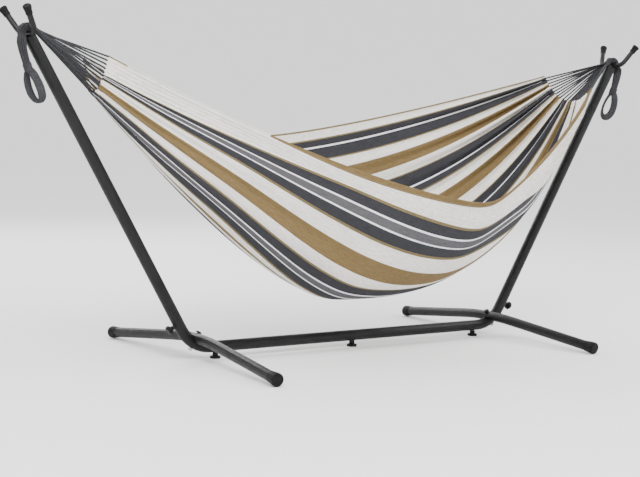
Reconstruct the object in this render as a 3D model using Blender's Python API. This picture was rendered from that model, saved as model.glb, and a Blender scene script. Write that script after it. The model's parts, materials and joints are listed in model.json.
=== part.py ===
"""Hammock on a two-arm steel stand: a knock-down tube frame with a striped cotton hammock hung between two forks.

Frame: X runs along the stand, Y across it, Z up; the origin is on the floor at the middle of the stand.
SIDES are the two ends of the stand, left (-X) and right (+X).
"""

from math import cos, radians, sin, sqrt, tan

import bmesh
import bpy
from mathutils import Matrix, Vector

SIDES = {"left": -1, "right": 1}
GAP = 0.0003          # air between two pieces that touch

# --- stand tubes ---------------------------------------------------------
TUBE_R = 0.021        # base and arm tube, 42 mm outside
TUBE_WALL = 0.0015
FOOT_R = 0.019        # foot bar tube, 38 mm outside
FOOT_WALL = 0.0015
TUBE_ROUND = 6        # bevel resolution: 16 sides

# --- base and arms -------------------------------------------------------
PAD_HEIGHT = 0.0223   # floor to the underside of the base tube
VERTEX_X = 0.718      # where the base axis and an arm axis cross
ARM_LEAN = radians(30.6)   # outwards from vertical
ELBOW_R = 0.14
ARM_TOP = 1.270       # along the arm axis, from the vertex to the top of the tube
SOCKET_TOP = 0.165    # along the arm axis, where the base section ends and the arm begins
SEAM_X = 0.060        # joint between the two base sections
SLEEVE_HALF = 0.120   # inner sleeve, each side of a seam
SPIGOT_HALF = 0.105
SLEEVE_WALL = 0.0018

# --- foot bars -----------------------------------------------------------
FOOT_X = 0.6985       # crossing of a foot bar over the base
FOOT_CREST = 0.0805   # height of the foot bar's axis at the crossing
FOOT_SWEEP = 0.032    # how much further out its ends are
FOOT_HALF = 0.576     # half the length across, to the cap's outer face
FOOT_BEND_R = 1.2
FOOT_CAP_R = 0.0232
FOOT_CAP_LONG = 0.044
FOOT_CAP_END = 0.006  # solid end of the cap
FOOT_CAP_ROUND = 0.0045
FOOT_CAP_BULB = 0.014 # full width this far, then a taper to the lip
FOOT_CAP_LIP_R = FOOT_R + 0.0014

# --- fasteners -----------------------------------------------------------
BOLT_R = 0.004
BOLT_CLEAR = 0.0004
BOLT_HEAD_R = 0.0125
BOLT_HEAD_H = 0.0065
NUT_R = 0.0075
NUT_H = 0.0065
BOLT_PAST_NUT = 0.002
KNOB_AT = 0.107       # along the arm axis
KNOB_R = 0.0165
KNOB_LONG = 0.015
KNOB_NECK_R = 0.0085
KNOB_NECK = 0.006
KNOB_NUT_H = 0.008

# --- glide pads under the base -------------------------------------------
PAD_X = (-0.616, 0.0, 0.616)
PAD_NAMES = ("left", "middle", "right")
PAD_DISC_R = 0.0197
PAD_DISC_H = 0.009
PAD_EDGE = 0.0018     # chamfer round the disc
PAD_STEM_R = 0.0105
PAD_STUD_IN = 0.010   # how far the stud reaches inside the base tube

# --- forks ---------------------------------------------------------------
ROD_R = 0.010
FORK_TIP = (0.0956, 0.086)    # across, and along the arm axis from the saddle
FORK_CORNER = 0.058           # across, where a prong turns up
FORK_BEND_R = 0.035
PLUG_LONG = 0.055
PLUG_RIM = 0.004
PLUG_CROWN = 0.006            # how far the plug rises round the rod
PRONG_CAP_R = 0.0122
PRONG_CAP_TIP_R = 0.0148
PRONG_CAP_LONG = 0.032
PRONG_CAP_END = 0.005
PRONG_CAP_EDGE = 0.003
PRONG_CAP_FLARE = (0.007, 0.020)    # from its tip, where the flare ends and where the plain sleeve starts

# --- hammock bed: the near hem hangs lower and further out than the far one -----
BED_THICK = 0.003
END_X = 1.128         # middle of a fabric end
HUNG_FROM = (1.3594, 1.1278)  # the X and height of the saddle rod that the hems and the keel are drawn for
# a hem or the keel is (lowest point X, its Y, its Z, left end X, Y, Z, right end X, Y, Z, left and right power)
NEAR_HEM = (0.198, -0.571, 0.583, -1.110, -0.085, 1.064, 1.080, -0.163, 1.023, 1.54, 1.0)
FAR_HEM = (-0.108, 0.540, 0.790, -1.110, 0.096, 1.064, 1.054, 0.093, 1.072, 1.40, 1.40)
KEEL = (-0.184, -0.062, 0.199, -END_X, 0.0, 0.943, END_X, 0.0, 0.967, 1.28, 2.82)
HEM_POWER = 1.45      # how the hems close in towards the ends
SIDE_POWER = 2.30     # how the bed curves from the keel up to a hem
BED_LONG, BED_ACROSS = 28, 18     # grid steps
HEADER_R = 0.0045     # rolled header at each fabric end, which the cords are tied to

# --- cords ---------------------------------------------------------------
BUNDLE_R = 0.012
FAN_THICK = 0.006
FAN_SLOPE = radians(31.0)     # fall of the cords from the saddle to the fabric
FAN_HALF = 0.010              # half width of the cords where they leave the saddle
SADDLE_STUB = 0.0012          # the bundle is level on top of the saddle, where it pivots
SADDLE_STEPS = 6
NECK_LONG = 0.010
FAN_PARALLEL = 0.014          # the cords run side by side this far before they spread
FAN_STEPS = 4
TURN_DOWN, TURN_OUT = 0.016, 0.004    # run of the bundle down the outer side of the saddle, clear of the arm
TURN_FRONT = 0.012            # and towards the front, where the tail hangs beside the arm
TAIL_DOME = (75, 50, 25)      # degrees up the rounded top of a tail, whose middle is its pivot
TAIL_DROP = (0.030, 0.062, 0.092)     # below the pivot
TAIL_IN = (0.003, 0.010, 0.019)       # and inwards
WHIP_R = 0.0148
WHIP_LONG = 0.030
EYE_LONG, EYE_WIDE = 0.095, 0.056    # egg-shaped loop, on its rope's middle line
EYE_TAPER = 0.12              # how much narrower it is at the top than at the bottom
EYE_ROPE_R = 0.0075
EYE_STEPS = 22

COLOURS = {
    "powder_coat": ((0.045, 0.045, 0.047), 0.45, 0.3),
    "black_rubber": ((0.012, 0.012, 0.013), 0.65, 0.0),
    "zinc_steel": ((0.30, 0.30, 0.31), 0.35, 0.9),
    "black_plastic": ((0.014, 0.014, 0.015), 0.4, 0.0),
    "striped_cotton": ((0.70, 0.63, 0.52), 0.9, 0.0),
    "cord_grey": ((0.075, 0.075, 0.08), 0.85, 0.0),
}


# --- helpers ---------------------------------------------------------------
def clear_scene():
    for obj in list(bpy.data.objects):
        bpy.data.objects.remove(obj, do_unlink=True)


def make_materials():
    for name, (colour, rough, metal) in COLOURS.items():
        material = bpy.data.materials.new(name)
        material.use_nodes = True
        shader = material.node_tree.nodes["Principled BSDF"]
        shader.inputs["Base Color"].default_value = (*colour, 1.0)
        shader.inputs["Roughness"].default_value = rough
        shader.inputs["Metallic"].default_value = metal


def add(name, data, material=None, matrix=None):
    """Links a new object of this data, with its own material and place."""
    obj = bpy.data.objects.new(name, data)
    bpy.context.scene.collection.objects.link(obj)
    if material:
        data.materials.append(bpy.data.materials[material])
    if matrix:
        obj.matrix_world = matrix
    return obj


def smooth(mesh, angle=40):
    mesh.shade_smooth()
    mesh.set_sharp_from_angle(angle=radians(angle))


def rounded(corners, bend_r, steps=8):
    """The corners joined by straight runs, each inner corner rounded by an arc of radius bend_r."""
    path = [Vector(corners[0])]
    for before, corner, after in zip(corners, corners[1:], corners[2:]):
        corner = Vector(corner)
        back = (Vector(before) - corner).normalized()
        on = (Vector(after) - corner).normalized()
        half = back.angle(on) / 2
        centre = corner + (back + on).normalized() * bend_r / sin(half)
        start = corner + back * bend_r / tan(half) - centre
        end = corner + on * bend_r / tan(half) - centre
        path += [centre + start.slerp(end, i / steps) * bend_r / start.slerp(end, i / steps).length
                 for i in range(steps + 1)]
    return path + [Vector(corners[-1])]


def tube(name, path, radius, material, wall=None, round_steps=TUBE_ROUND, closed=False, shares=()):
    """A round bar along the path, or a pipe with open ends where wall is given; shares scale its first radii."""
    curve = bpy.data.curves.new(name, "CURVE")
    curve.dimensions = "3D"
    curve.bevel_depth = radius
    curve.bevel_resolution = round_steps
    curve.use_fill_caps = wall is None
    spline = curve.splines.new("POLY")
    spline.points.add(len(path) - 1)
    for point, place in zip(spline.points, path):
        point.co = (*place, 1.0)
    for point, share in zip(spline.points, shares):
        point.radius = share
    spline.use_cyclic_u = closed
    spline.use_smooth = True
    obj = add(name, curve, material)
    if wall:
        shell = obj.modifiers.new("wall", "SOLIDIFY")
        shell.thickness = wall
        shell.offset = -1
        shell.use_even_offset = True
    return obj


def turned(name, profile, material, place, axis, steps=16):
    """A turned piece: profile is (radius, height) down its outer side, height along the axis from the place."""
    mesh = bpy.data.meshes.new(name)
    edges = [(i, i + 1) for i in range(len(profile) - 1)]
    if profile[0][0] > 0:
        edges.append((len(profile) - 1, 0))
    mesh.from_pydata([(r, 0.0, z) for r, z in profile], edges, [])
    turn = Vector(axis).to_track_quat("Z", "Y").to_matrix().to_4x4()
    obj = add(name, mesh, material, Matrix.Translation(place) @ turn)
    screw = obj.modifiers.new("turn", "SCREW")
    screw.steps = screw.render_steps = steps
    screw.use_merge_vertices = True
    screw.merge_threshold = 0.00001
    screw.use_smooth_shade = True
    return obj


def rod_cutter(name, start, end, radius):
    """A hidden round bar that cuts a hole."""
    cutter = tube(name, [Vector(start), Vector(end)], radius, None, round_steps=4)
    return hide(as_mesh(cutter))


def as_mesh(obj):
    """The curve object remade as a mesh object of the same name."""
    name = obj.name
    mesh = bpy.data.meshes.new_from_object(obj.evaluated_get(bpy.context.evaluated_depsgraph_get()))
    bpy.data.objects.remove(obj, do_unlink=True)
    body = bmesh.new()
    body.from_mesh(mesh)
    bmesh.ops.remove_doubles(body, verts=body.verts, dist=0.000002)
    bmesh.ops.recalc_face_normals(body, faces=body.faces)
    body.to_mesh(mesh)
    body.free()
    smooth(mesh)
    return add(name, mesh)


def hide(obj):
    obj.hide_render = True
    obj.display_type = "WIRE"
    return obj


def cut(obj, *cutters, operation="DIFFERENCE"):
    """Adds a Boolean for each cutter; a curve is made a mesh first, with its wall in it."""
    if obj.type == "CURVE":
        obj = as_mesh(obj)
    for cutter in cutters:
        boolean = obj.modifiers.new(cutter.name, "BOOLEAN")
        boolean.operation = operation
        boolean.object = cutter
    return obj


def sheet(name, rows, thick, material):
    """A closed sheet of this thickness through a grid of points."""
    body = bmesh.new()
    bmesh.ops.create_grid(body, x_segments=len(rows[0]) - 1, y_segments=len(rows) - 1, size=1)
    body.verts.ensure_lookup_table()
    for vert, place in zip(body.verts, (p for row in rows for p in row)):
        vert.co = place
    mesh = bpy.data.meshes.new(name)
    body.to_mesh(mesh)
    body.free()
    mesh.shade_smooth()
    obj = add(name, mesh, material)
    shell = obj.modifiers.new("cloth", "SOLIDIFY")
    shell.thickness = thick
    shell.offset = 0
    return obj


def hexagon(flats_r):
    """The corner radius of a hexagon whose flats are this far from its middle."""
    return flats_r / cos(radians(30))


# --- places that several pieces share ---------------------------------------
BASE_Z = PAD_HEIGHT + TUBE_R
INNER_R = TUBE_R - TUBE_WALL


def arm_axis(side):
    return Vector((side * sin(ARM_LEAN), 0, cos(ARM_LEAN)))


def on_arm(side, along, across=0.0):
    """A point on the arm's axis, or beside it along Y."""
    return Vector((side * VERTEX_X, across, BASE_Z)) + arm_axis(side) * along


def foot_path(side):
    """The foot bar's axis: a gentle bend whose crest is at the crossing; the caps stand on the floor."""
    inset = FOOT_CAP_END + GAP
    drop = FOOT_CREST - FOOT_CAP_R
    slope = Vector((side * FOOT_SWEEP, FOOT_HALF, -drop)).normalized()
    half_turn = Vector((0, 1, 0)).angle(slope)
    lift = FOOT_BEND_R * (1 / cos(half_turn) - 1)
    crest = Vector((side * FOOT_X, 0, FOOT_CREST))
    up = Vector((-side * FOOT_SWEEP, 0, drop)).normalized()
    ends = [Vector((side * (FOOT_X + FOOT_SWEEP), y * FOOT_HALF, FOOT_CAP_R)) for y in (-1, 1)]
    vertex = crest + up * lift
    ends = [end + (vertex - end).normalized() * inset for end in ends]
    return rounded([ends[0], vertex, ends[1]], FOOT_BEND_R, steps=6)


def bolt_axis(side):
    """The foot bolt runs square to the elbow, towards the centre of its bend."""
    bend_centre = Vector((side * (VERTEX_X - ELBOW_R * tan((radians(90) - ARM_LEAN) / 2)), 0, BASE_Z + ELBOW_R))
    return (bend_centre - Vector((side * FOOT_X, 0, FOOT_CREST))).normalized()


# --- stand -------------------------------------------------------------------
def make_base():
    for name, side in SIDES.items():
        start = Vector((SEAM_X + (GAP if side > 0 else 0), 0, BASE_Z))
        corners = [start, Vector((side * VERTEX_X, 0, BASE_Z)), on_arm(side, SOCKET_TOP)]
        section = tube(f"base_section_{name}", rounded(corners, ELBOW_R), TUBE_R, "powder_coat", wall=TUBE_WALL)
        crest = Vector((side * FOOT_X, 0, FOOT_CREST))
        seat = hide(as_mesh(tube(f"seat_cutter_{name}", foot_path(side), FOOT_R + GAP * 2, None)))
        bolt = rod_cutter(f"bolt_cutter_{name}", crest, crest - bolt_axis(side) * 4 * TUBE_R, BOLT_R + BOLT_CLEAR)
        inside = on_arm(side, KNOB_AT)
        knob = rod_cutter(f"knob_cutter_{name}", inside, inside + knob_axis(side) * 2 * TUBE_R, BOLT_R + BOLT_CLEAR)
        section = cut(section, seat, bolt, knob)
        for x, pad in zip(PAD_X, PAD_NAMES):
            if x * side > 0 or (side < 0 and x == 0):
                cut(section, pad_cutter(pad, x))
    sleeve_path = [Vector((SEAM_X + way * SLEEVE_HALF, 0, BASE_Z)) for way in (-1, 1)]
    sleeve = tube("base_joint_sleeve", sleeve_path, INNER_R - GAP, "zinc_steel", wall=SLEEVE_WALL)
    cut(sleeve, bpy.data.objects["pad_cutter_middle"])


def make_arms():
    for name, side in SIDES.items():
        ends = [on_arm(side, SOCKET_TOP + GAP), on_arm(side, ARM_TOP - PLUG_RIM - GAP - 2 * ROD_R)]
        tube(f"arm_{name}", ends, TUBE_R, "powder_coat", wall=TUBE_WALL)
        low = max(SOCKET_TOP - SPIGOT_HALF, ELBOW_R * tan((radians(90) - ARM_LEAN) / 2))
        spigot = [on_arm(side, low), on_arm(side, SOCKET_TOP + SPIGOT_HALF)]
        tube(f"arm_spigot_{name}", spigot, INNER_R - GAP, "zinc_steel", wall=SLEEVE_WALL)


def knob_axis(side):
    """Out of the lower side of the arm, square to it."""
    return Vector((side * cos(ARM_LEAN), 0, -sin(ARM_LEAN)))


def make_knobs():
    for name, side in SIDES.items():
        axis = knob_axis(side)
        skin = on_arm(side, KNOB_AT) + axis * TUBE_R
        nut_bore = hexagon(BOLT_R + BOLT_CLEAR)
        nut = [(NUT_R, KNOB_NUT_H), (NUT_R, GAP * 3), (nut_bore, GAP * 3), (nut_bore, KNOB_NUT_H)]
        turned(f"knob_nut_{name}", nut, "powder_coat", skin, axis, steps=6)
        neck = KNOB_NUT_H + GAP
        head = neck + KNOB_NECK
        stud_top = head + KNOB_LONG / 2
        bore = BOLT_R + GAP
        edge = KNOB_R / 4
        profile = [(0.0, head + KNOB_LONG), (KNOB_R - edge, head + KNOB_LONG), (KNOB_R, head + KNOB_LONG - edge),
                   (KNOB_R, head + edge), (KNOB_R - edge, head), (KNOB_NECK_R, head), (KNOB_NECK_R, neck),
                   (bore, neck), (bore, stud_top + GAP), (0.0, stud_top + GAP)]
        turned(f"knob_head_{name}", profile, "black_plastic", skin, axis)
        stud = [(0.0, stud_top), (BOLT_R, stud_top), (BOLT_R, -TUBE_WALL), (0.0, -TUBE_WALL)]
        turned(f"knob_stud_{name}", stud, "zinc_steel", skin, axis, steps=12)


def make_feet():
    for name, side in SIDES.items():
        path = foot_path(side)
        crest = Vector((side * FOOT_X, 0, FOOT_CREST))
        axis = bolt_axis(side)
        bar = tube(f"foot_bar_{name}", path, FOOT_R, "powder_coat", wall=FOOT_WALL)
        through = axis * 2 * FOOT_R
        hole = rod_cutter(f"foot_hole_{name}", crest - through, crest + through, BOLT_R + BOLT_CLEAR)
        cut(bar, hole)
        for way, end, inner in (("front", path[0], path[1]), ("back", path[-1], path[-2])):
            make_foot_cap(f"foot_cap_{name}_{way}", end, (end - inner).normalized())
        make_foot_bolt(name, side, crest, axis)


def make_foot_cap(name, end, out):
    bore = FOOT_R + GAP
    top = FOOT_CAP_END + GAP
    low = top - FOOT_CAP_LONG
    round_r = FOOT_CAP_ROUND
    profile = [(0.0, top), (FOOT_CAP_R - round_r, top), (FOOT_CAP_R - round_r / 4, top - round_r / 3),
               (FOOT_CAP_R, top - round_r), (FOOT_CAP_R, top - FOOT_CAP_BULB), (FOOT_CAP_LIP_R, low), (bore, low),
               (bore, GAP), (0.0, GAP)]
    turned(name, profile, "black_rubber", end, out)


def make_foot_bolt(name, side, crest, axis):
    """A round-headed bolt through the foot bar and the elbow, with its nut under the elbow."""
    head_foot = FOOT_R + GAP * 2
    below = -(elbow_depth() + NUT_H + BOLT_PAST_NUT)
    bolt = [(0.0, head_foot + BOLT_HEAD_H), (BOLT_HEAD_R * 0.55, head_foot + BOLT_HEAD_H * 0.82),
            (BOLT_HEAD_R * 0.88, head_foot + BOLT_HEAD_H * 0.4), (BOLT_HEAD_R, head_foot), (BOLT_R, head_foot),
            (BOLT_R, below), (0.0, below)]
    turned(f"foot_bolt_{name}", bolt, "powder_coat", crest, axis)
    bore = hexagon(BOLT_R + BOLT_CLEAR)
    top = -(elbow_depth() + GAP * 3)
    nut = [(NUT_R, top), (NUT_R, top - NUT_H), (bore, top - NUT_H), (bore, top)]
    turned(f"foot_nut_{name}", nut, "zinc_steel", crest, axis, steps=6)


def elbow_depth():
    """From the foot bar's axis to the outer skin of the elbow, along the bolt."""
    bend_x = VERTEX_X - ELBOW_R * tan((radians(90) - ARM_LEAN) / 2)
    to_centre = sqrt((FOOT_X - bend_x) ** 2 + (BASE_Z + ELBOW_R - FOOT_CREST) ** 2)
    return ELBOW_R + TUBE_R - to_centre


def pad_cutter(pad, x):
    low = Vector((x, 0, PAD_HEIGHT - TUBE_WALL))
    return rod_cutter(f"pad_cutter_{pad}", low, Vector((x, 0, BASE_Z)), BOLT_R + BOLT_CLEAR)


def make_pads():
    """Mushroom glides: a disc and stem of rubber on a stud that screws into the base."""
    for x, pad in zip(PAD_X, PAD_NAMES):
        place = Vector((x, 0, 0))
        top = PAD_HEIGHT - GAP * 2
        bore = BOLT_R + GAP
        foot = PAD_DISC_H / 2
        profile = [(0.0, foot), (bore, foot), (bore, top), (PAD_STEM_R, top), (PAD_STEM_R, PAD_DISC_H),
                   (PAD_DISC_R - PAD_EDGE, PAD_DISC_H), (PAD_DISC_R, PAD_DISC_H - PAD_EDGE), (PAD_DISC_R, PAD_EDGE),
                   (PAD_DISC_R - PAD_EDGE, 0.0), (0.0, 0.0)]
        turned(f"pad_{pad}", profile, "black_rubber", place, (0, 0, 1))
        stud = [(0.0, PAD_HEIGHT + PAD_STUD_IN), (BOLT_R, PAD_HEIGHT + PAD_STUD_IN), (BOLT_R, foot + GAP),
                (0.0, foot + GAP)]
        turned(f"pad_stud_{pad}", stud, "zinc_steel", place, (0, 0, 1), steps=12)


def make_forks():
    for name, side in SIDES.items():
        saddle = ARM_TOP - ROD_R
        tip = (FORK_TIP[0], ARM_TOP + FORK_TIP[1])
        prong = Vector((0, tip[0] - FORK_CORNER, tip[1] - saddle)).normalized()
        rod_tip = (tip[0] - prong.y * PRONG_CAP_END, tip[1] - prong.z * PRONG_CAP_END)
        flat = [(-rod_tip[0], rod_tip[1]), (-FORK_CORNER, saddle), (FORK_CORNER, saddle), rod_tip]
        corners = [on_arm(side, along, across) for across, along in flat]
        path = rounded(corners, FORK_BEND_R, steps=5)
        rod = as_mesh(tube(f"fork_{name}", path, ROD_R, "powder_coat", round_steps=3))
        rim = ARM_TOP - 2 * ROD_R
        profile = [(0.0, PLUG_CROWN), (ROD_R * 0.9, PLUG_CROWN), (TUBE_R, 0.0), (TUBE_R, -PLUG_RIM),
                   (INNER_R - GAP, -PLUG_RIM), (INNER_R - GAP, -PLUG_LONG), (0.0, -PLUG_LONG)]
        plug = hide(turned(f"fork_plug_{name}", profile, None, on_arm(side, rim), arm_axis(side)))
        cut(rod, plug, operation="UNION")
        for way, sign in (("front", -1), ("back", 1)):
            out = Vector((side * sin(ARM_LEAN) * prong.z, sign * prong.y, cos(ARM_LEAN) * prong.z))
            make_prong_cap(f"prong_cap_{name}_{way}", on_arm(side, rod_tip[1], sign * rod_tip[0]), out)


def make_prong_cap(name, rod_end, out):
    bore = ROD_R + GAP * 2
    top = PRONG_CAP_END
    low = top - PRONG_CAP_LONG
    edge = PRONG_CAP_EDGE
    profile = [(0.0, top), (PRONG_CAP_TIP_R - edge, top), (PRONG_CAP_TIP_R, top - edge),
               (PRONG_CAP_TIP_R, top - PRONG_CAP_FLARE[0]), (PRONG_CAP_R, top - PRONG_CAP_FLARE[1]),
               (PRONG_CAP_R, low), (bore, low), (bore, GAP), (0.0, GAP)]
    turned(name, profile, "black_rubber", rod_end, out)


# --- hammock -----------------------------------------------------------------
def along_bed(line, u, power):
    """A point of a hem or the keel, u from -1 at the left end to 1 at the right one."""
    x0, y0, z0, left, yl, zl, right, yr, zr, pl, pr = line
    middle = x0 / END_X
    left_part = u < middle
    w = (middle - u) / (1 + middle) if left_part else (u - middle) / (1 - middle)
    y_end, z_end, rise = (yl, zl, pl) if left_part else (yr, zr, pr)
    x = u * (-left if u < 0 else right)
    rod = saddle_rod(1)
    wider, higher = rod.x / HUNG_FROM[0], rod.z / HUNG_FROM[1]
    y = y_end + (y0 - y_end) * (1 - w ** power)
    return Vector((x * wider, y, (z0 + (z_end - z0) * w ** rise) * higher))


def bed_point(u, s):
    """A point of the bed: s is -1 at the near hem, 0 on the keel, 1 at the far hem."""
    keel = along_bed(KEEL, u, HEM_POWER)
    hem = along_bed(NEAR_HEM if s < 0 else FAR_HEM, u, HEM_POWER)
    share = abs(s)
    point = keel.lerp(hem, share)
    point.z = keel.z + (hem.z - keel.z) * share ** SIDE_POWER
    return point


def across_steps():
    return [-1 + 2 * i / BED_ACROSS for i in range(BED_ACROSS + 1)]


def make_bed():
    inner = [bed_row(-1 + 2 * i / BED_LONG) for i in range(1, BED_LONG)]
    rows = [header_row(-1, inner[0])] + inner + [header_row(1, inner[-1])]
    sheet("hammock_bed", rows, BED_THICK, "striped_cotton")
    for name, side in SIDES.items():
        header = [bed_point(side, s) for s in across_steps()]
        tube(f"end_header_{name}", header, HEADER_R, "cord_grey", round_steps=2)


def bed_row(u):
    return [bed_point(u, s) for s in across_steps()]


def header_row(side, beside):
    """The fabric's end row, which stops at the skin of the header."""
    ends = [bed_point(side, s) for s in across_steps()]
    return [end + (near - end).normalized() * (HEADER_R + GAP * 2) for end, near in zip(ends, beside)]


def saddle_rod(side):
    """Centre of the fork's rod at the saddle."""
    return on_arm(side, ARM_TOP - ROD_R)


def over_saddle(side, way, last):
    """The cords' middle line from the top of the saddle, towards way (X sign), until they leave the rod at last."""
    around = ROD_R + BUNDLE_R + GAP * 2
    top = Vector((0, 0, 1))
    rod = saddle_rod(side)
    crest = rod + top * around
    stub = [crest + Vector((way * along, 0, 0)) for along in (GAP, SADDLE_STUB)]
    return stub + [rod + top.slerp(last, i / SADDLE_STEPS) * around for i in range(1, SADDLE_STEPS + 1)]


def make_fans():
    """The cords from the saddle to the fabric: a round neck that pivots on the saddle, then a fan."""
    for name, side in SIDES.items():
        run = Vector((-side * cos(FAN_SLOPE), 0, -sin(FAN_SLOPE)))
        leave = Vector((-side * sin(FAN_SLOPE), 0, cos(FAN_SLOPE)))
        neck = over_saddle(side, -side, leave)
        neck.append(neck[-1] + run * NECK_LONG)
        tube(f"cord_neck_{name}", neck, BUNDLE_R, "cord_grey", round_steps=4)
        apexes = [neck[-1] + run * GAP + Vector((0, FAN_HALF * s, 0)) for s in across_steps()]
        spread = [apex + run * FAN_PARALLEL for apex in apexes]
        ends = [bed_point(side, s) for s in across_steps()]
        ends = [end + (apex - end).normalized() * (HEADER_R + GAP * 5) for end, apex in zip(ends, apexes)]
        rows = [[first.lerp(end, i / FAN_STEPS) for first, end in zip(spread, ends)] for i in range(FAN_STEPS + 1)]
        sheet(f"cord_fan_{name}", [apexes] + rows, FAN_THICK, "cord_grey")


def make_turns():
    """The bundle of cords down the outer side of the saddle, and its tail."""
    for name, side in SIDES.items():
        turn = over_saddle(side, side, Vector((side, 0, 0)))
        turn.append(turn[-1] + Vector((side * TURN_OUT, -TURN_FRONT, -TURN_DOWN)))
        turn.append(turn[-1] - Vector((0, 0, BUNDLE_R / 2)))
        tube(f"saddle_turn_{name}", turn, BUNDLE_R, "cord_grey", round_steps=4)
        make_tail(name, side, turn[-1])


def make_tail(name, side, start):
    """The tail's round top is centred on its pivot, so that it sways clear of the turn above it."""
    pivot = start - Vector((0, 0, BUNDLE_R + GAP))
    path = [pivot + Vector((0, 0, BUNDLE_R * sin(radians(up)))) for up in TAIL_DOME] + [pivot]
    path += [pivot + Vector((-side * inwards, 0, -drop)) for drop, inwards in zip(TAIL_DROP, TAIL_IN)]
    dome = [cos(radians(up)) for up in TAIL_DOME]
    tube(f"tail_bundle_{name}", path, BUNDLE_R, "cord_grey", round_steps=4, shares=dome)
    end, run = path[-1], (path[-1] - path[-2]).normalized()
    bore = BUNDLE_R + GAP * 2
    whip = [(WHIP_R, 0.0), (WHIP_R, -WHIP_LONG), (bore, -WHIP_LONG), (bore, 0.0)]
    turned(f"tail_whipping_{name}", whip, "cord_grey", end - run * WHIP_LONG, -run)
    make_eye(name, end + run * (EYE_ROPE_R + GAP * 2), run)


def make_eye(name, top, run):
    """A loop below the whipping, in the plane of Y and the tail's run."""
    path = []
    for i in range(EYE_STEPS):
        turn = radians(360) * i / EYE_STEPS
        across = EYE_WIDE / 2 * sin(turn) * (1 - EYE_TAPER * (1 + cos(turn)))
        path.append(top + run * EYE_LONG * (1 - cos(turn)) / 2 + Vector((0, across, 0)))
    tube(f"eye_loop_{name}", path, EYE_ROPE_R, "cord_grey", round_steps=2, closed=True)


def main():
    clear_scene()
    make_materials()
    make_base()
    make_arms()
    make_knobs()
    make_feet()
    make_pads()
    make_forks()
    make_bed()
    make_fans()
    make_turns()


main()
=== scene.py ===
"""Looks of the hammock on its stand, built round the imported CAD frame. Metres; X along the stand, Z up."""

import json
from math import ceil, cos, pi, radians, sin

import bpy
import numpy as np
from mathutils import Matrix, Vector


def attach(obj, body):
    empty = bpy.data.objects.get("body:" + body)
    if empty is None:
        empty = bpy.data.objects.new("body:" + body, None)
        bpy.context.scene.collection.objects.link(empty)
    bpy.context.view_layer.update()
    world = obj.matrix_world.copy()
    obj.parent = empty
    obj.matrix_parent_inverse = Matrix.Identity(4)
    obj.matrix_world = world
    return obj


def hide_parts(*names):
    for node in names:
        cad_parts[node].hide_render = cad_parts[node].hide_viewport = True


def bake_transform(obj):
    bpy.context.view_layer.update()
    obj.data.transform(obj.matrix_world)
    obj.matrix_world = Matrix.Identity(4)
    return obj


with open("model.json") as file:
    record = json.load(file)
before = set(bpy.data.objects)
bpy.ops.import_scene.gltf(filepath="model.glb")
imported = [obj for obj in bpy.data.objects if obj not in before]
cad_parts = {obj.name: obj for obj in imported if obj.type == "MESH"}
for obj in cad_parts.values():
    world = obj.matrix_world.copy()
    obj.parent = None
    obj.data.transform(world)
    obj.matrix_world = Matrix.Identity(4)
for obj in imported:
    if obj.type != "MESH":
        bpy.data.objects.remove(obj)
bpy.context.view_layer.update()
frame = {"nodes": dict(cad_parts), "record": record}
SIDES = {"left": -1, "right": 1}
Y_AXIS = np.array([0.0, 1.0, 0.0])
rng = np.random.default_rng(12)

# --- the CAD's own measures, repeated ------------------------------------------
GAP = 0.0003
TUBE_R, ROD_R = 0.021, 0.010
PAD_HEIGHT, VERTEX_X, ARM_LEAN = 0.0223, 0.718, radians(30.6)
ARM_TOP = 1.270
BASE_Z = PAD_HEIGHT + TUBE_R
END_X = 1.128
NEAR_HEM = (0.198, -0.571, 0.583, -1.110, -0.085, 1.064, 1.080, -0.163, 1.023, 1.54, 1.0)
FAR_HEM = (-0.108, 0.540, 0.790, -1.110, 0.096, 1.064, 1.054, 0.093, 1.072, 1.40, 1.40)
KEEL = (-0.184, -0.062, 0.199, -END_X, 0.0, 0.943, END_X, 0.0, 0.967, 1.28, 2.82)
HEM_POWER, SIDE_POWER = 1.45, 2.30
BUNDLE_R = 0.012
FAN_SLOPE = radians(31.0)
SADDLE_STEPS = 6
NECK_LONG = 0.010
TURN_DOWN, TURN_OUT, TURN_FRONT = 0.016, 0.004, 0.012
TAIL_DROP = (0.030, 0.062, 0.092)
TAIL_IN = (0.007, 0.017, 0.028)    # a little nearer the arm than the CAD's plain tail
WHIP_LONG = 0.030
EYE_LONG, EYE_WIDE, EYE_ROPE_R = 0.095, 0.056, 0.0075

# --- the cloth as it was cut ----------------------------------------------------
CLOTH_WIDE, CLOTH_LONG = 1.57, 2.50
CLOTH_THICK, HEM_THICK, END_HEM_THICK = 0.0012, 0.0030, 0.0056
CORDS = 24
CREAM, TAN, GOLD, DARK, MID, WHITE = range(6)
# stripes across the cloth from the near hem to the far one: (colour, where it ends as a share of the width)
STRIPES = (
    (GOLD, 0.016), (CREAM, 0.056), (TAN, 0.064), (DARK, 0.092), (WHITE, 0.097), (MID, 0.120), (WHITE, 0.125),
    (DARK, 0.160), (TAN, 0.168), (CREAM, 0.214), (GOLD, 0.270), (CREAM, 0.310), (TAN, 0.318), (DARK, 0.350),
    (WHITE, 0.355), (MID, 0.375), (WHITE, 0.380), (DARK, 0.412), (TAN, 0.420), (CREAM, 0.445), (GOLD, 0.487),
    (CREAM, 0.522), (TAN, 0.528), (DARK, 0.568), (WHITE, 0.574), (DARK, 0.606), (TAN, 0.610), (CREAM, 0.650),
    (GOLD, 0.700), (CREAM, 0.736), (TAN, 0.741), (DARK, 0.762), (WHITE, 0.768), (DARK, 0.808), (TAN, 0.812),
    (CREAM, 0.840), (GOLD, 0.880), (CREAM, 0.910), (TAN, 0.914), (DARK, 0.947), (WHITE, 0.952), (DARK, 0.969),
    (TAN, 0.973), (CREAM, 0.995), (TAN, 1.0),
)
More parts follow.
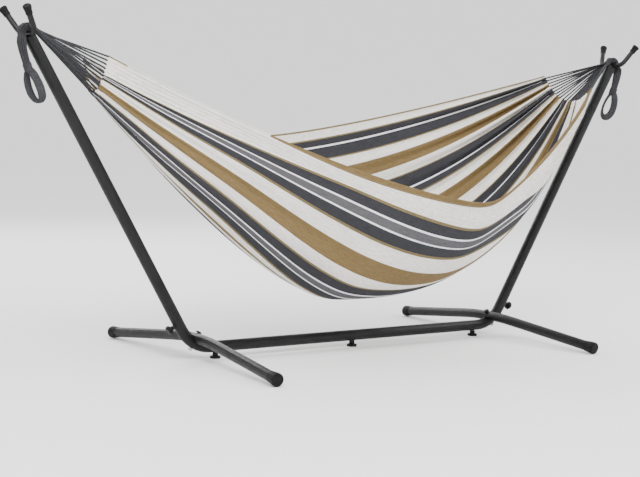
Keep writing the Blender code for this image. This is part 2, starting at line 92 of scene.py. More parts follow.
YARN = {
    CREAM: (0.80, 0.775, 0.72), TAN: (0.170, 0.130, 0.062), GOLD: (0.172, 0.116, 0.050),
    DARK: (0.034, 0.034, 0.039), MID: (0.092, 0.089, 0.096), WHITE: (0.82, 0.82, 0.84),
}
# LINES: on the flat cloth, the ends of the near hem, of the first cream stripe and of the first three dark
# groups. HUNG: where they lie across the hung bed, in round steps, at places from its left end (-1) to its
# right one (1). The near side is drawn out towards both ends, and squeezed a little left of the middle.
LINES = (0.0, 0.016, 0.056, 0.160, 0.412, 0.606, 1.0)
HUNG = {
    -1.0: (0, 0.010, 0.200, 0.255, 0.540, 0.700, 1),
    -0.6: (0, 0.002, 0.060, 0.130, 0.375, 0.605, 1),
    -0.3: (0, 0.016, 0.045, 0.140, 0.400, 0.605, 1),
    0.0: (0, 0.016, 0.065, 0.170, 0.420, 0.605, 1),
    0.2: (0, 0.016, 0.080, 0.180, 0.430, 0.605, 1),
    0.4: (0, 0.020, 0.105, 0.210, 0.440, 0.610, 1),
    0.6: (0, 0.030, 0.185, 0.270, 0.460, 0.615, 1),
    1.0: (0, 0.100, 0.380, 0.415, 0.505, 0.630, 1),
}
HEM_SEAMS = (0.0135, 0.9965)
STITCH_STEP = 0.0065
SOFTEN = 0.045         # how far along the bed the turns at the places above are softened
ROLLED = (-0.95, -0.56)    # between these the near hem has rolled under, so its fold shows the cream
COLUMN = 0.0034        # width of a column of the cloth's grid, as a share
EDGE_TO, EDGE_COLUMN = 0.056, 0.0016     # finer along the near edge, which is drawn out at the ends
ROWS = 170
# a pleat's height at the end hem, how much higher it grows away from it, and over what share of the bed
PLEAT_LOW, PLEAT_GROWS, PLEAT_GROWN = 0.0050, 0.0100, 0.12
LEFT_PLEATS = 0.24     # the left end is pulled flatter
END_HEM_FROM = 0.985   # from here out the cloth is folded into its end hems
ROPE_LAY = (3, 0.18)   # strands in a cord, and how deep the grooves between them are


# --- shapes ---------------------------------------------------------------------
def piece(name, verts, faces, look, body=None, slot=None, uv=None):
    """A smooth-shaded mesh object, riding on a CAD body if one is given."""
    mesh = bpy.data.meshes.new(name)
    mesh.from_pydata(np.asarray(verts).tolist(), [], [list(f) for f in faces])
    mesh.shade_smooth()
    mesh.materials.append(look)
    if uv is not None:
        layer = mesh.uv_layers.new(name="cloth")
        loops = np.empty(len(mesh.loops), np.int32)
        mesh.loops.foreach_get("vertex_index", loops)
        layer.data.foreach_set("uv", np.asarray(uv, np.float32)[loops].ravel())
    obj = bpy.data.objects.new(name, mesh)
    bpy.context.scene.collection.objects.link(obj)
    if body:
        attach(obj, body)
    return obj


def resample(path, step):
    """Points at even steps along the straight stretches between the path's points."""
    path = np.asarray(path, float)
    along = np.r_[0, np.cumsum(np.linalg.norm(np.diff(path, axis=0), axis=1))]
    count = max(2, int(ceil(along[-1] / step)) + 1)
    at = np.linspace(0, along[-1], count)
    return np.stack([np.interp(at, along, path[:, k]) for k in range(3)], 1)


def frames(path, up=None, closed=False):
    """Tangent, side and normal at each point, turned as little as possible along the path."""
    path = np.asarray(path, float)
    if closed:
        tangent = np.roll(path, -1, 0) - np.roll(path, 1, 0)
    else:
        tangent = np.gradient(path, axis=0)
    tangent /= np.linalg.norm(tangent, axis=1)[:, None]
    side = np.cross(tangent[0], up if up is not None else (0.3, 0.2, 1.0))
    if np.linalg.norm(side) < 1e-6:
        side = np.cross(tangent[0], (1.0, 0.0, 0.0))
    sides = []
    for along in tangent:
        side = side - along * side.dot(along)
        side /= np.linalg.norm(side)
        sides.append(side)
    sides = np.array(sides)
    return tangent, sides, np.cross(tangent, sides)


def sweep(path, radius, sides=16, closed=False, up=None, shape=None):
    """Verts and faces of a tube. radius may vary along it; shape(angle, distance) scales the ring."""
    path = np.asarray(path, float)
    count = len(path)
    _, side, normal = frames(path, up, closed)
    radius = np.broadcast_to(np.asarray(radius, float), (count,))
    angle = np.arange(sides) * 2 * pi / sides
    along = np.r_[0, np.cumsum(np.linalg.norm(np.diff(path, axis=0), axis=1))]
    scale = np.ones((count, sides)) if shape is None else shape(angle[None, :], along[:, None])
    ring = radius[:, None] * scale
    verts = (path[:, None, :] + ring[..., None] * (np.cos(angle)[None, :, None] * side[:, None, :]
             + np.sin(angle)[None, :, None] * normal[:, None, :])).reshape(-1, 3)
    faces = []
    for i in range(count if closed else count - 1):
        a, b = i * sides, ((i + 1) % count) * sides
        for j in range(sides):
            k = (j + 1) % sides
            faces.append((a + j, a + k, b + k, b + j))
    if not closed:
        faces.append(tuple(range(sides))[::-1])
        faces.append(tuple((count - 1) * sides + j for j in range(sides)))
    return verts, faces


def join(parts):
    """Several (verts, faces) as one."""
    verts, faces, start = [], [], 0
    for part_verts, part_faces in parts:
        verts.append(np.asarray(part_verts))
        faces += [tuple(i + start for i in f) for f in part_faces]
        start += len(part_verts)
    return np.concatenate(verts), faces


# --- materials --------------------------------------------------------------------
def material(name, rough=0.6, metal=0.0):
    made = bpy.data.materials.new(name)
    made.use_nodes = True
    nodes, links = made.node_tree.nodes, made.node_tree.links
    shader = nodes["Principled BSDF"]
    shader.inputs["Roughness"].default_value = rough
    shader.inputs["Metallic"].default_value = metal
    return made, nodes, links, shader


def node(nodes, kind, **settings):
    made = nodes.new(kind)
    for key, value in settings.items():
        setattr(made, key, value)
    return made


def noise(nodes, links, scale, detail=4.0, coordinates=None):
    if coordinates is None:
        coordinates = nodes.new("ShaderNodeTexCoord").outputs["Object"]
    made = nodes.new("ShaderNodeTexNoise")
    made.inputs["Scale"].default_value = scale
    made.inputs["Detail"].default_value = detail
    links.new(coordinates, made.inputs["Vector"])
    return made.outputs["Fac"]


def ramp(nodes, links, value, stops):
    made = nodes.new("ShaderNodeValToRGB")
    elements = made.color_ramp.elements
    while len(elements) < len(stops):
        elements.new(0.5)
    for element, (at, colour) in zip(elements, stops):
        element.position = at
        element.color = (*colour, 1.0)
    links.new(value, made.inputs["Fac"])
    return made.outputs["Color"]


def multiply(nodes, links, a, b):
    """One colour times another."""
    made = node(nodes, "ShaderNodeMix", data_type="RGBA", blend_type="MULTIPLY")
    next(s for s in made.inputs if s.name == "Factor" and s.type == "VALUE").default_value = 1.0
    for name, colour in (("A", a), ("B", b)):
        links.new(colour, next(s for s in made.inputs if s.name == name and s.type == "RGBA"))
    return next(s for s in made.outputs if s.type == "RGBA")


def bump(nodes, links, shader, height, strength, distance):
    made = nodes.new("ShaderNodeBump")
    made.inputs["Strength"].default_value = strength
    made.inputs["Distance"].default_value = distance
    links.new(height, made.inputs["Height"])
    links.new(made.outputs["Normal"], shader.inputs["Normal"])


def grey(value):
    return (value, value, value)


def make_powder():
    """Powder coat: nearly black, with a fine orange-peel grain."""
    made, nodes, links, shader = material("powder_coat_fine", rough=0.42)
    base = noise(nodes, links, 9.0, 3.0)
    colour = ramp(nodes, links, base, ((0.3, (0.0050, 0.0050, 0.0053)), (0.7, (0.0085, 0.0085, 0.0090))))
    links.new(colour, shader.inputs["Base Color"])
    links.new(ramp(nodes, links, noise(nodes, links, 60.0), ((0.35, grey(0.36)), (0.65, grey(0.48)))),
              shader.inputs["Roughness"])
    shader.inputs["Specular IOR Level"].default_value = 0.20
    bump(nodes, links, shader, noise(nodes, links, 900.0, 2.0), 0.25, 0.0004)
    return made


def make_plain(name, dark, light, rough, scale, metal=0.0):
    """One colour with broad, faint mottling, uneven sheen and a fine grain."""
    made, nodes, links, shader = material(name, rough=rough, metal=metal)
    colour = ramp(nodes, links, noise(nodes, links, scale), ((0.3, dark), (0.7, light)))
    links.new(colour, shader.inputs["Base Color"])
    sheen = ((0.3, grey(rough * 0.85)), (0.7, grey(rough * 1.12)))
    links.new(ramp(nodes, links, noise(nodes, links, scale * 5), sheen), shader.inputs["Roughness"])
    shader.inputs["Specular IOR Level"].default_value = 0.5 if metal else 0.14
    bump(nodes, links, shader, noise(nodes, links, 700.0, 2.0), 0.3, 0.0002)
    return made


def make_cord():
    """Twisted yarn, with lighter and darker threads."""
    made, nodes, links, shader = material("cord_braid", rough=0.88)
    coordinates = nodes.new("ShaderNodeTexCoord").outputs["Object"]
    threads = noise(nodes, links, 420.0, 2.0, coordinates)
    broad = noise(nodes, links, 14.0, 3.0, coordinates)
    colour = ramp(nodes, links, threads, ((0.32, (0.018, 0.018, 0.020)), (0.5, (0.034, 0.034, 0.037)),
                                          (0.72, (0.072, 0.072, 0.078))))
    shade = ramp(nodes, links, broad, ((0.3, grey(0.82)), (0.7, grey(1.0))))
    links.new(multiply(nodes, links, colour, shade), shader.inputs["Base Color"])
    shader.inputs["Specular IOR Level"].default_value = 0.15
    bump(nodes, links, shader, threads, 0.6, 0.0006)
    return made


WEAVE = 640.0    # fineness of the weave


def yarns(nodes, links, place, along, across, detail=2.0):
    """A noise over the flat cloth, stretched into yarns by its two scales."""
    stretched = nodes.new("ShaderNodeMapping")
    stretched.inputs["Scale"].default_value = (along, across, 1.0)
    links.new(place, stretched.inputs["Vector"])
    return noise(nodes, links, 1.0, detail, stretched.outputs["Vector"])


def make_cloth():
    """Plain-woven cotton: the stripe colour, its warp and weft yarns, flecks and a soft nap."""
    made, nodes, links, shader = material("striped_cotton_weave", rough=0.93)
    stripe = node(nodes, "ShaderNodeAttribute", attribute_name="stripe").outputs["Color"]
    place = node(nodes, "ShaderNodeUVMap", uv_map="cloth").outputs["UV"]
    shades = (
        (yarns(nodes, links, place, 60.0, 900.0), 0.25, 0.74, 1.20),         # warp
        (yarns(nodes, links, place, 700.0, 90.0), 0.25, 0.80, 1.16),         # weft
        (yarns(nodes, links, place, 26.0, 260.0, 3.0), 0.32, 0.84, 1.10),    # thick yarns
        (noise(nodes, links, 5.0, 3.0, place), 0.30, 0.94, 1.03),            # broad unevenness
    )
    colour = stripe
    for pattern, low, darkest, lightest in shades:
        shade = ramp(nodes, links, pattern, ((low, grey(darkest)), (1 - low, grey(lightest))))
        colour = multiply(nodes, links, colour, shade)
    links.new(colour, shader.inputs["Base Color"])
    shader.inputs["Specular IOR Level"].default_value = 0.2
    waves = []
    for direction in ("X", "Y"):
        wave = node(nodes, "ShaderNodeTexWave", wave_type="BANDS", bands_direction=direction)
        wave.inputs["Scale"].default_value = WEAVE / (2 * pi)
        wave.inputs["Distortion"].default_value = 0.6
        links.new(place, wave.inputs["Vector"])
        waves.append(wave.outputs["Fac"])
    height = node(nodes, "ShaderNodeMath", operation="MULTIPLY")
    links.new(waves[0], height.inputs[0])
    links.new(waves[1], height.inputs[1])
    bump(nodes, links, shader, height.outputs[0], 0.5, 0.0005)
    return made


# --- places -----------------------------------------------------------------------
def arm_axis(side):
    return np.array([side * sin(ARM_LEAN), 0.0, cos(ARM_LEAN)])


def on_arm(side, along, across=0.0):
    return np.array([side * VERTEX_X, across, BASE_Z]) + arm_axis(side) * along


def along_bed(line, u):
    """Points of a hem or the keel; u is an array from -1 at the left end to 1 at the right one."""
    x0, y0, z0, left, yl, zl, right, yr, zr, pl, pr = line
    middle = x0 / END_X
    is_left = u < middle
    w = np.where(is_left, (middle - u) / (1 + middle), (u - middle) / (1 - middle))
    y_end, z_end, rise = (np.where(is_left, a, b) for a, b in ((yl, yr), (zl, zr), (pl, pr)))
    x = u * np.where(u < 0, -left, right)
    return np.stack([x, y_end + (y0 - y_end) * (1 - w ** HEM_POWER), z0 + (z_end - z0) * w ** rise], -1)


def bed_row(u, count=241):
    """Points across the bed at u, from the near hem to the far one."""
    s = np.linspace(-1, 1, count)
    at = np.array([u])
    keel, near, far = (along_bed(line, at)[0] for line in (KEEL, NEAR_HEM, FAR_HEM))
    hem = np.where(s[:, None] < 0, near, far)
    share = np.abs(s)[:, None]
    points = keel + (hem - keel) * share
    points[:, 2] = keel[2] + (hem[:, 2] - keel[2]) * share[:, 0] ** SIDE_POWER
    return points


def smoothstep(x):
    x = np.clip(x, 0, 1)
    return x * x * (3 - 2 * x)


def column_lines():
    """(share of the flat width at each line of the grid, colour of each column between them)."""
    lines, colours, start = [0.0], [], 0.0
    for colour, end in STRIPES:
        count = max(1, round((end - start) / (COLUMN if start >= EDGE_TO else EDGE_COLUMN)))
        lines += [start + (end - start) * (i + 1) / count for i in range(count)]
        colours += [colour] * count
        start = end
    return np.array(lines), colours


def cloth_grid():
    """Middle surface of the cloth, its unit normals, and each point's place on the flat cloth."""
    lines, colours = column_lines()
    u = np.sin(np.linspace(-pi / 2, pi / 2, ROWS) * 0.94) / sin(pi / 2 * 0.94)
    knots = np.array(sorted(HUNG))
    hung = np.array([np.interp(lines, LINES, HUNG[knot]) for knot in knots])
    straight = 1 - smoothstep((lines - 0.25) / 0.5)    # near stripes run straight from knot to knot
    crossings = [bed_row(at) for at in knots]
    spans = np.array([np.linalg.norm(np.diff(line, axis=0), axis=1).sum() for line in crossings])
    shares = []
    for at in u:
        line = bed_row(at)
        arc = np.r_[0, np.cumsum(np.linalg.norm(np.diff(line, axis=0), axis=1))]
        right = int(np.clip(np.searchsorted(knots, at), 1, len(knots) - 1))
        part = (at - knots[right - 1]) / (knots[right] - knots[right - 1])
        share = hung[right - 1] * (1 - part) + hung[right] * part
        length = hung[right - 1] * spans[right - 1] * (1 - part) + hung[right] * spans[right] * part
        place = np.maximum.accumulate(length * straight + share * arc[-1] * (1 - straight))
        place *= arc[-1] / place[-1]
        shares.append(place / arc[-1])
    # soften the turns at the knots, but not at the ends
    reach = SOFTEN * np.minimum(1, (1 - np.abs(u)) / 0.2) + 1e-4
    weight = np.exp(-0.5 * ((u[:, None] - u[None, :]) / reach[:, None]) ** 2)
    weight /= weight.sum(1)[:, None]
    shares = weight @ np.array(shares)
    rows = []
    for at, share in zip(u, shares):
        line = bed_row(at)
        arc = np.r_[0, np.cumsum(np.linalg.norm(np.diff(line, axis=0), axis=1))]
        rows.append(np.stack([np.interp(share * arc[-1], arc, line[:, k]) for k in range(3)], 1))
    base = np.einsum("ab,bcd->acd", weight, np.array(rows))
    du, dv = np.gradient(base, axis=0), np.gradient(base, axis=1)
    normal = np.cross(du, dv)
    normal /= np.linalg.norm(normal, axis=2)[..., None]
    return u, lines, colours, base, normal, shares


def pleat_height(u, shares):
    """Folds that start between the cords at each end and die out towards the middle."""
    size = rng.uniform(0.65, 1.25, (2, CORDS + 2)) * np.array([[LEFT_PLEATS], [1.0]])
    reach = rng.uniform(0.18, 0.52, (2, CORDS + 2))
    lean = rng.uniform(-0.18, 0.18, (2, CORDS + 2))
    height = np.zeros(shares.shape)
    for end, sign in enumerate((-1, 1)):
        q = shares[(0, -1)[end]][None, :] * CORDS
        pleats = np.arange(CORDS + 2) - 0.5
        amp, fade, bend = (np.interp(q, pleats, values[end]) for values in (size, reach, lean))
        away = np.clip(1 - sign * u, 0, None)[:, None]
        grow = PLEAT_LOW + PLEAT_GROWS * smoothstep(away / PLEAT_GROWN)
        profile = np.exp(-(away / fade) ** 1.6)
        wave = np.sin(2 * pi * q + bend * away * 8) + 0.22 * np.sin(4 * pi * q + 1.1)
        height += grow * amp * profile * wave * (away < 1.0)
    return height


def make_bed(cloth):
    """The cloth as a thin closed sheet, thicker at its hems. Returns its rows' places and middle surface."""
    u, lines, colours, base, normal, shares = cloth_grid()
    height = pleat_height(u, shares)
    # long soft folds between the ends
    slow = 1 - np.abs(u[:, None]) ** 2
    height += 0.0040 * np.sin(2 * pi * (shares * 7 + 0.35 * u[:, None])) * slow
    near_side = smoothstep((0.5 - shares) / 0.2)
    height += 0.0030 * np.sin(2 * pi * (shares * 12.5 - 0.9 * u[:, None]) + 1.0) * slow * near_side
    edge = np.minimum(lines, 1 - lines)
    height *= smoothstep(edge / 0.02)[None, :] * 0.8 + 0.2
    middle = base + normal * height[..., None]
    du, dv = np.gradient(middle, axis=0), np.gradient(middle, axis=1)
    normal = np.cross(du, dv)
    normal /= np.linalg.norm(normal, axis=2)[..., None]
    hem = (lines < 0.0165) | (lines > 0.986)
    thick = np.where(hem, HEM_THICK, CLOTH_THICK)[None, :, None]
    end_hem = (np.abs(u) > END_HEM_FROM)[:, None, None]
    thick = np.where(end_hem, END_HEM_THICK, thick)
    top, under = middle + normal * thick / 2, middle - normal * thick / 2
    rows, cols = middle.shape[:2]
    verts = np.concatenate([top.reshape(-1, 3), under.reshape(-1, 3)])
    half = rows * cols
    faces, face_colour = [], []
    for i in range(rows - 1):
        for j in range(cols - 1):
            a, b, c, d = i * cols + j, i * cols + j + 1, (i + 1) * cols + j + 1, (i + 1) * cols + j
            faces += [(a, d, c, b), (a + half, b + half, c + half, d + half)]
            rolled = lines[j + 1] < 0.017 and ROLLED[0] < u[i] < ROLLED[1]
            face_colour += [CREAM if rolled else colours[j]] * 2
    for i in range(rows - 1):
        for j, flip in ((0, False), (cols - 1, True)):
            a, d = i * cols + j, (i + 1) * cols + j
            face = (a, a + half, d + half, d)
            faces.append(face[::-1] if flip else face)
            rolled = j == 0 and ROLLED[0] < u[i] < ROLLED[1]
            face_colour.append(CREAM if rolled else colours[min(j, cols - 2)])
    for j in range(cols - 1):
        for i, flip in ((0, True), (rows - 1, False)):
            a, b = i * cols + j, i * cols + j + 1
            face = (a, a + half, b + half, b)
            faces.append(face[::-1] if flip else face)
            face_colour.append(colours[j])
    along = (u + 1) / 2 * CLOTH_LONG
    flat = np.stack(np.broadcast_arrays(along[:, None], lines[None, :] * CLOTH_WIDE), -1).reshape(-1, 2)
    both = np.concatenate([flat, flat])
    bed = piece("bed_cloth", verts, faces, cloth, "hammock", "striped_cotton", uv=both)
    stripe = bed.data.attributes.new("stripe", "FLOAT_COLOR", "CORNER")
    per_face = np.array([(*YARN[c], 1.0) for c in face_colour], np.float32)
    counts = np.array([len(f) for f in faces])
    stripe.data.foreach_set("color", np.repeat(per_face, counts, axis=0).ravel())
    make_stitches(lines, middle, normal)
    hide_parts("hammock_bed")
    return u, middle


def make_stitches(lines, middle, normal):
    """Lockstitches along both long hems, on both faces."""
    thread = make_plain("stitch_thread", (0.30, 0.24, 0.15), (0.40, 0.33, 0.22), 0.8, 60.0)
    thick = np.array([0.0002, 0.0005, 0.0005, 0.0002])
    parts = []
    for share in HEM_SEAMS:
        j = int(np.argmin(np.abs(lines - share)))
        for face in (-1, 1):
            line = middle[2:-2, j] + normal[2:-2, j] * face * (HEM_THICK / 2 + 0.0001)
            seam = resample(line, STITCH_STEP / 2)
            for a, b in zip(seam[0::2], seam[1::2]):
                stitch = np.array([a, a + (b - a) * 0.3, a + (b - a) * 1.0, a + (b - a) * 1.3])
                parts.append(sweep(stitch, thick, 5))
    piece("hem_stitches", *join(parts), thread, "hammock", "striped_cotton")


# --- cords --------------------------------------------------------------------------
STRAND_R = 0.0028
START_R, FAN_IN = 0.0023, 0.64     # a cord's radius where the fan starts, and how close the bundle is there
FAN_R = 0.0033          # the cords plump out once they are free of the bundle
TWIST_PITCH = 0.013
CORD_ROWS = ((-0.0090, 5, 0.0120), (-0.0032, 7, 0.0157), (0.0032, 7, 0.0157), (0.0090, 5, 0.0120))
NECK_IN, FLAT_IN = 0.72, 0.88    # how far the bundle closes in, across and through, at the whipping


def rope_shape(lobes, depth, pitch):
    """The ring of a rope laid from a few strands, which turn round it as it goes."""
    def shape(angle, along):
        return 1 - depth + depth * np.abs(np.cos(lobes / 2 * (angle - 2 * pi * along / pitch)))
    return shape


def over_saddle(side, last):
    """The bundle's middle line round the rod, from its top until it lies out from the rod along last."""
    around = ROD_R + BUNDLE_R + GAP * 2
    rod = on_arm(side, ARM_TOP - ROD_R)
    top = Vector((0, 0, 1))
    points = [rod + np.array([0, 0, around])]
    for i in range(1, SADDLE_STEPS * 3 + 1):
        points.append(rod + np.array(top.slerp(Vector(last), i / (SADDLE_STEPS * 3))) * around)
    return np.array(points)


def neck_path(side):
    """Middle line of the bundle from the fan up to the top of the saddle, and the fan's direction."""
    run = np.array([-side * cos(FAN_SLOPE), 0, -sin(FAN_SLOPE)])
    leave = (-side * sin(FAN_SLOPE), 0, cos(FAN_SLOPE))
    neck = over_saddle(side, leave)
    return np.vstack([neck, neck[-1] + run * NECK_LONG])[::-1], run


def tail_path(side):
    """Middle line from the top of the saddle down to the whipping's lower end, and the tail's pivot."""
    turn = over_saddle(side, (side, 0, 0))
    turn = np.vstack([turn, turn[-1] + np.array([side * TURN_OUT, -TURN_FRONT, -TURN_DOWN])])
    start = turn[-1] - np.array([0, 0, BUNDLE_R / 2])
    pivot = start - np.array([0, 0, BUNDLE_R + GAP])
    path = [pivot + np.array([-side * inwards, 0, -drop]) for drop, inwards in zip(TAIL_DROP, TAIL_IN)]
    return np.vstack([turn, start, pivot, path]), pivot


def strand_places():
    """Where each cord lies in the flat bundle on the saddle: (across, out from the rod)."""
    return [(half * (2 * i / (count - 1) - 1), out) for out, count, half in CORD_ROWS for i in range(count)]


def offset_strand(path, place, side, close=None):
    """A path beside the middle one. close says how far the bundle has closed in at each point, 0 to 1."""
    tangent = np.gradient(path, axis=0)
    tangent /= np.linalg.norm(tangent, axis=1)[:, None]
    out = -side * np.cross(Y_AXIS, tangent)
    close = np.zeros(len(path)) if close is None else close
    across = place[0] * (1 - (1 - NECK_IN) * close)
    through = place[1] * (1 - (1 - FLAT_IN) * close)
    return path + across[:, None] * Y_AXIS + through[:, None] * out


def make_cords(cord, grid):
    """The cords over each saddle and its fan, with the header and the tail that belong to them."""
    u, middle = grid
    rope = rope_shape(*ROPE_LAY, TWIST_PITCH)
    for name, side in SIDES.items():
        path, run = neck_path(side)
        path = resample(path, 0.0025)
        places = strand_places()
        near = 1 - smoothstep(np.linspace(0, 1, len(path)) / 0.8)    # close together where the fan starts
        strands = [offset_strand(path, (across * FAN_IN, out * FAN_IN), side) * near[:, None]
                   + offset_strand(path, (across, out), side) * (1 - near[:, None]) for across, out in places]
        row = 0 if side < 0 else len(u) - 1
        edge = middle[row]
        along = np.r_[0, np.cumsum(np.linalg.norm(np.diff(edge, axis=0), axis=1))]
        even = (np.arange(CORDS) + 0.25) / CORDS * along[-1]
        ends = np.stack([np.interp(even, along, edge[:, k]) for k in range(3)], 1)
        # match the cords to places in the bundle: hem cords on top, keel cords below
        starts = np.array([s[0] for s in strands])
        out = np.array([-side * sin(FAN_SLOPE), 0, cos(FAN_SLOPE)])
        angles = np.arctan2(ends[:, 2] - ends[:, 2].mean(), ends[:, 1] - ends[:, 1].mean())
        spots = np.arctan2((starts - starts.mean(0)) @ out, starts[:, 1] - starts[:, 1].mean())
        order_ends, order_spots = np.argsort(angles), np.argsort(spots)
        tubes, match = [], dict(zip(order_ends, order_spots))
        for k in range(CORDS):
            start = starts[match[k]]
            lead = start + run * 0.02
            rest = ends[k] - lead
            line = [start, start + run * 0.006, lead + rest * 0.03, lead + rest * 0.5, ends[k]]
            curve = smooth_path(line, 0.0022)
            grow = smoothstep(np.linspace(0, 5, len(curve)))
            tubes.append(sweep(curve, START_R + (FAN_R - START_R) * grow, 12, shape=rope))
        fan = piece(f"fan_cords_{name}", *join(tubes), cord, "hammock", "cord_grey")
        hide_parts(f"cord_fan_{name}")
        bundle = join([sweep(s, STRAND_R + (START_R - STRAND_R) * near, 10, shape=rope) for s in strands])
        neck = piece(f"saddle_cords_{name}", *bundle, cord, slot="cord_grey")
        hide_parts(f"cord_neck_{name}")
        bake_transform(neck)
        make_header(cord, name, middle[2 if side < 0 else len(u) - 3], middle[row], ends)
        make_tail(cord, name, side, places)


def smooth_path(points, step):
    """A Catmull-Rom curve through the points, at even steps."""
    points = np.asarray(points, float)
    padded = np.vstack([2 * points[0] - points[1], points, 2 * points[-1] - points[-2]])
    fine = []
    for a, b, c, d in zip(padded, padded[1:], padded[2:], padded[3:]):
        for t in np.linspace(0, 1, 12, endpoint=False):
            square, cube = 2 * a - 5 * b + 4 * c - d, 3 * b - a - 3 * c + d
            fine.append(0.5 * (2 * b + (c - a) * t + square * t * t + cube * t ** 3))
    fine.append(points[-1])
    return resample(fine, step)


def make_header(cord, name, inside, edge, ends):
    """The cord inside the cloth's end hem, and a small hitch where each fan cord ties on at its edge."""
    parts = [sweep(resample(inside, 0.003), 0.0021, 10, shape=rope_shape(*ROPE_LAY, TWIST_PITCH))]
    line = resample(edge, 0.003)
    tangent = np.gradient(line, axis=0)
    for end in ends:
        i = int(np.argmin(np.linalg.norm(line - end, axis=1)))
        along = tangent[i] / np.linalg.norm(tangent[i])
        a = np.cross(along, (0, 0, 1.0))
        a /= np.linalg.norm(a)
        b = np.cross(along, a)
        turns = np.linspace(0, 2 * 2 * pi, 28)
        coil = line[i] + along * (turns / (4 * pi) - 0.5)[:, None] * 0.005 + 0.0031 * (
            np.cos(turns)[:, None] * a + np.sin(turns)[:, None] * b)
        parts.append(sweep(coil, 0.0013, 8))
    header = piece(f"header_cord_{name}", *join(parts), cord, "hammock", "cord_grey")
    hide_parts(f"end_header_{name}")


EYE_BAND = (0.0150, 0.0052)     # half the width and half the thickness of the wound cords round the eye
EYE_START = 0.010               # the loop starts inside the whipping
EYE_PINCH = 0.20                # its strands lie closer together at the top
EYE_FACES = radians(30.0)       # the loop has turned a little towards the front
EYE_TURN = radians(60.0)        # how far the band turns between the near strand and the far one
WHIP_TURNS, WHIP_ROPE_R = 9.5, 0.0018
WHIP_ACROSS, WHIP_THROUGH = 0.0160, 0.0130    # half the width and half the thickness of the winding


def make_tail(cord, name, side, places):
    """The cords that hang past the saddle, their whipping and the eye below it."""
    route, pivot = tail_path(side)
    path = smooth_path(route, 0.0025)
    rope = rope_shape(*ROPE_LAY, TWIST_PITCH)
    share = np.linspace(0, 1, len(path))
    close = smoothstep((share - 0.35) / 0.5)
    thin = STRAND_R * (1 - 0.22 * close)
    tubes = [sweep(offset_strand(path, place, side, close), thin, 10, shape=rope) for place in places]
    body = f"tail_{name}"
    tail = piece(f"tail_cords_{name}", *join(tubes), cord, slot="cord_grey")
    end = path[-1]
    run = route[-1] - route[-2]
    run = run / np.linalg.norm(run)
    across = np.cross(run, Y_AXIS)
    turns = np.linspace(0, 2 * pi * WHIP_TURNS, 9 * 30)
    height = WHIP_ROPE_R + (WHIP_LONG - 2 * WHIP_ROPE_R) * turns / turns[-1]
    round_it = WHIP_ACROSS * np.cos(turns)[:, None] * Y_AXIS + WHIP_THROUGH * np.sin(turns)[:, None] * across
    coil = end - run * WHIP_LONG + run * height[:, None] + round_it
    winding = sweep(coil, WHIP_ROPE_R, 8, shape=rope_shape(3, 0.2, 0.006))
    whip = piece(f"whipping_{name}", *winding, cord, body, "cord_grey")
    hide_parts(f"tail_whipping_{name}")
    top = end - run * EYE_START
    long = EYE_START + EYE_ROPE_R + 2 * GAP + EYE_LONG
    front = np.array([sin(EYE_FACES), -cos(EYE_FACES), 0.0])
    loop = []
    for i in range(180):
        turn = 2 * pi * i / 180
        wide = EYE_WIDE / 2 * sin(turn) * (1 - EYE_PINCH * (1 + cos(turn)))
        loop.append(top + run * long * (1 - cos(turn)) / 2 + front * wide)
    fine = resample(loop + loop[:1], 0.0009)[:-1]
    total = 0.0009 * len(fine)
    _, sides, normals = frames(fine, Y_AXIS, True)
    quarter = len(fine) // 4
    outwards = np.cross(front, (0, 0, 1.0)) * -1
    way = np.sign(sides[quarter].dot(front) * normals[quarter].dot(outwards))

    def band(angle, along):
        front_strand = 0.5 + 0.5 * np.sin(2 * pi * along / total)
        turned = angle + way * EYE_TURN * front_strand
        wide, thick = EYE_BAND
        oval = wide * thick / np.sqrt((thick * np.sin(turned)) ** 2 + (wide * np.cos(turned)) ** 2)
        wound = 0.90 + 0.10 * np.abs(np.cos(pi * along / 0.0036 + turned * 0.35))
        return oval * wound

    wound_loop = sweep(fine, 1.0, 28, closed=True, up=Y_AXIS, shape=band)
    eye = piece(f"eye_{name}", *wound_loop, cord, body, "cord_grey")
    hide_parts(f"eye_loop_{name}")
    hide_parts(f"saddle_turn_{name}", f"tail_bundle_{name}")
    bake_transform(tail)


# --- stage -------------------------------------------------------------------------
FLOOR_FLAT, FLOOR_BEND, FLOOR_TOP = 18.0, 12.0, 24.0    # a round studio floor that bends up into its backdrop


CAMERA_AT, CAMERA_LENS = (-3.428, -4.535, 0.908), 83.8
CAMERA_YAW, CAMERA_PITCH, CAMERA_ROLL = radians(-35.74), radians(-4.98), radians(1.59)
LAMPS = {    # place, size and power
    "key": ((-3.0, -4.0, 4.5), 3.0, 430), "fill": ((4.5, -2.5, 3.0), 3.0, 150),
    "back": ((0.5, 4.5, 3.5), 3.0, 180),
}
LAMPS_FACE = Vector((0, 0, 0.6))
WORLD_STRENGTH = 1.9


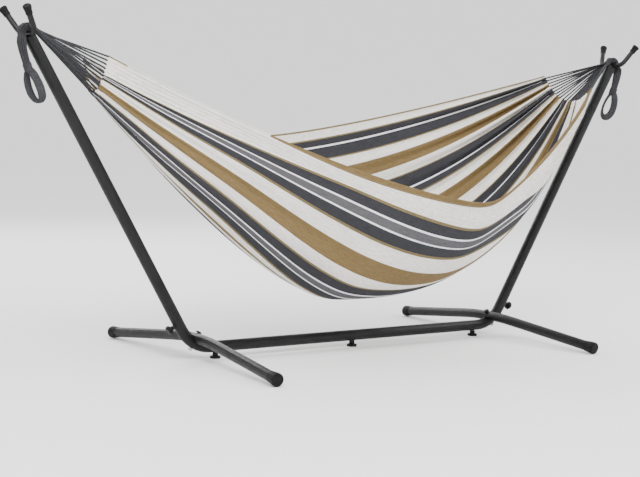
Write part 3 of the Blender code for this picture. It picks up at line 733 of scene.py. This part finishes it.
def make_stage():
    """The camera, the floor, and soft light from all round and from three lamps."""
    camera = bpy.data.cameras.new("camera")
    camera.lens, camera.sensor_width = CAMERA_LENS, 36.0
    camera.clip_end = 100
    obj = bpy.data.objects.new("camera", camera)
    yaw, pitch, roll = CAMERA_YAW, CAMERA_PITCH, CAMERA_ROLL
    ahead = Vector((-sin(yaw) * cos(pitch), cos(yaw) * cos(pitch), sin(pitch)))
    right = Vector((cos(yaw), sin(yaw), 0))
    up = right.cross(ahead)
    right, up = right * cos(roll) + up * sin(roll), up * cos(roll) - right * sin(roll)
    turn = Matrix((right, up, -ahead)).transposed().to_4x4()
    obj.matrix_world = Matrix.Translation(CAMERA_AT) @ turn
    bpy.context.scene.collection.objects.link(obj)
    bpy.context.scene.camera = obj
    floor_look, _, _, shader = material("pale_floor", rough=0.9)
    shader.inputs["Base Color"].default_value = (0.86, 0.86, 0.86, 1)
    profile = [(FLOOR_FLAT * i / 8, 0.0) for i in range(1, 9)] + [
        (FLOOR_FLAT + FLOOR_BEND * sin(turn), FLOOR_BEND - FLOOR_BEND * cos(turn))
        for turn in np.linspace(0, pi / 2, 25)[1:]] + [(FLOOR_FLAT + FLOOR_BEND, FLOOR_TOP)]
    around = 96
    verts = [(0.0, 0.0, 0.0)] + [(r * cos(2 * pi * k / around), r * sin(2 * pi * k / around), z)
                                 for r, z in profile for k in range(around)]
    faces = [(0, 1 + k, 1 + (k + 1) % around) for k in range(around)]
    for i in range(len(profile) - 1):
        a, b = 1 + i * around, 1 + (i + 1) * around
        faces += [(a + k, b + k, b + (k + 1) % around, a + (k + 1) % around) for k in range(around)]
    piece("floor", verts, faces, floor_look)
    world = bpy.data.worlds.new("studio")
    world.use_nodes = True
    world.node_tree.nodes["Background"].inputs["Color"].default_value = (1, 1, 1, 1)
    world.node_tree.nodes["Background"].inputs["Strength"].default_value = WORLD_STRENGTH
    bpy.context.scene.world = world
    for name, (place, size, power) in LAMPS.items():
        lamp = bpy.data.lights.new(name, "AREA")
        lamp.size, lamp.energy = size, power
        light = bpy.data.objects.new(name, lamp)
        facing = (Vector(place) - LAMPS_FACE).to_track_quat("Z", "Y")
        light.matrix_world = Matrix.Translation(place) @ facing.to_matrix().to_4x4()
        bpy.context.scene.collection.objects.link(light)


def main():
    make_stage()
    powder = make_powder()
    rubber = make_plain("black_rubber_matt", (0.0030, 0.0030, 0.0032), (0.0060, 0.0060, 0.0064), 0.62, 30.0)
    plastic = make_plain("black_plastic_fine", (0.0030, 0.0030, 0.0032), (0.0055, 0.0055, 0.0058), 0.45, 40.0)
    zinc = make_plain("zinc_plate", (0.33, 0.33, 0.34), (0.45, 0.45, 0.46), 0.34, 50.0, metal=0.95)
    cord, cloth = make_cord(), make_cloth()
    looks = {"powder_coat": powder, "black_rubber": rubber, "black_plastic": plastic, "zinc_steel": zinc,
             "striped_cotton": cloth, "cord_grey": cord}
    for part in frame["record"]["subparts"]:
        obj = frame["nodes"][part["node"]]
        for slot in obj.material_slots:
            slot.material = looks[part["material_slot"]]
    grid = make_bed(cloth)
    make_cords(cord, grid)


main()
